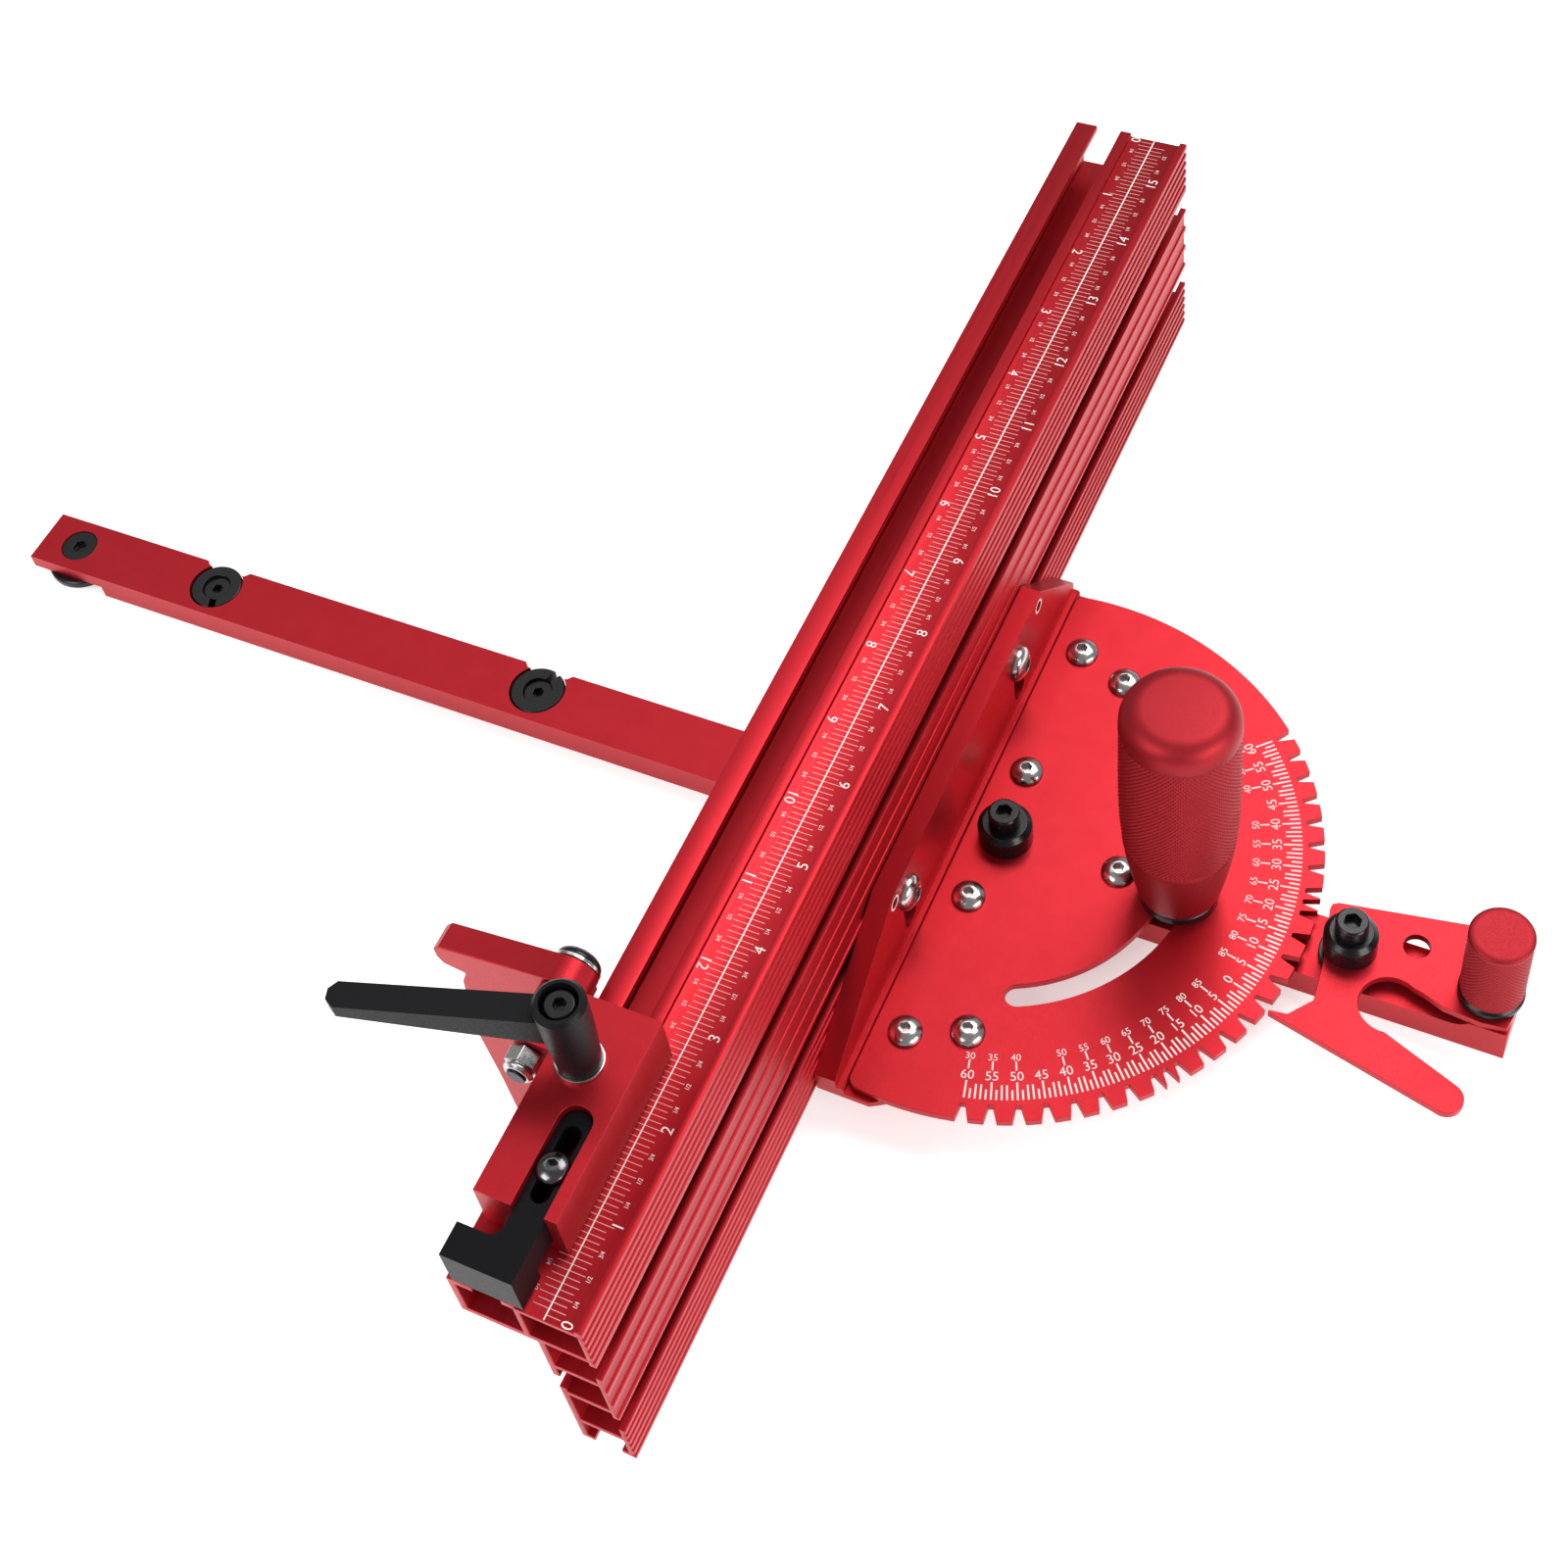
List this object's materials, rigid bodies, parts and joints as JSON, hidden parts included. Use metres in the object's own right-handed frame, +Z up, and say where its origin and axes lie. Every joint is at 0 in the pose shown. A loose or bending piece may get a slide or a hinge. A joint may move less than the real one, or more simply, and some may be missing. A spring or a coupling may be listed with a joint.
{
  "type": "miter gauge",
  "caption": "Table saw miter gauge: a slot bar with expansion discs, a toothed protractor plate with an indexing lever, and a long slotted fence with a sliding flip stop.",
  "frame": {"origin": "on the protractor's pivot axis, at the underside of the guide bar", "axes": "+X along the fence away from the flip stop, +Y along the bar towards the front, +Z up"},
  "size_m": [0.4, 0.4805, 0.1319],
  "materials": {
    "red_anodised": "satin anodised, bright red",
    "black_oxide": "black oxide, satin",
    "bright_steel": "bright zinc, polished",
    "black_cast": "fine black powder coat",
    "pale_plastic": "low friction plastic"
  },
  "bodies": {
    "bar": {"bar": "red_anodised", "retaining_disc": "black_oxide", "retaining_screw": "black_oxide", "front_expansion_disc": "black_oxide", "rear_expansion_disc": "black_oxide", "front_expansion_screw": "black_oxide", "rear_expansion_screw": "black_oxide", "pivot_spacer": "bright_steel", "pivot_collar": "black_oxide", "pivot_bolt": "black_oxide", "index_spacer": "bright_steel", "index_collar": "black_oxide", "index_bolt": "black_oxide", "lock_stud": "bright_steel", "handle_stud": "bright_steel"},
    "protractor": {"protractor_plate": "red_anodised", "glide_pad": "pale_plastic", "plate_screws": "bright_steel", "fence_bracket": "red_anodised", "fence_bolts": "bright_steel", "fence_nuts": "bright_steel", "bracket_set_screws": "black_oxide", "fence_foot": "red_anodised", "fence_lower": "red_anodised", "fence_middle": "red_anodised", "fence_upper": "red_anodised", "fence_top_box": "red_anodised"},
    "lever_plate": {"index_plate": "red_anodised"},
    "lock_knob": {"lock_knob": "red_anodised", "lock_knob_washer": "black_oxide"},
    "handle": {"handle": "red_anodised", "handle_washer": "black_oxide"},
    "stop": {"stop_block": "red_anodised", "stop_bolt": "bright_steel", "hinge_bolt": "black_oxide", "hinge_washer": "bright_steel", "hinge_nut": "bright_steel", "finger_screw": "black_oxide"},
    "clamp_lever": {"clamp_lever": "black_cast", "lever_insert": "bright_steel", "lever_screw": "black_oxide"},
    "flip_arm": {"flip_arm": "red_anodised"},
    "finger": {"finger": "black_oxide"}
  },
  "joints": [
    {"name": "protractor_turn", "type": "hinge", "parent": "bar", "child": "protractor", "pos_m": [0, 0, 0.012], "axis": [0, 0, 1], "range_deg": [-60, 60]},
    {"name": "lever_turn", "type": "hinge", "parent": "bar", "child": "lever_plate", "pos_m": [0, -0.097, 0.012], "axis": [0, 0, 1], "range_deg": [-9.5, 2]},
    {"name": "lock_knob_turn", "type": "hinge", "parent": "bar", "child": "lock_knob", "pos_m": [0, -0.134, 0.0145], "axis": [0, 0, 1], "range_deg": [0, 180]},
    {"name": "handle_turn", "type": "hinge", "parent": "bar", "child": "handle", "pos_m": [0, -0.05, 0.0145], "axis": [0, 0, 1], "range_deg": [0, 180]},
    {"name": "stop_slide", "type": "slide", "parent": "protractor", "child": "stop", "axis": [1, 0, 0], "range_m": [-0.015, 0.331]},
    {"name": "clamp_lever_turn", "type": "hinge", "parent": "stop", "child": "clamp_lever", "pos_m": [-0.142, 0.04365, 0.1039], "axis": [0, 0, 1], "range_deg": [0, 180]},
    {"name": "flip_arm_swing", "type": "hinge", "parent": "stop", "child": "flip_arm", "pos_m": [-0.1219, 0.0586, 0.0975], "axis": [1, 0, 0], "range_deg": [0, 175]},
    {"name": "finger_slide", "type": "slide", "parent": "stop", "child": "finger", "axis": [1, 0, 0], "range_m": [-0.0085, 0.0004]}
  ]
}
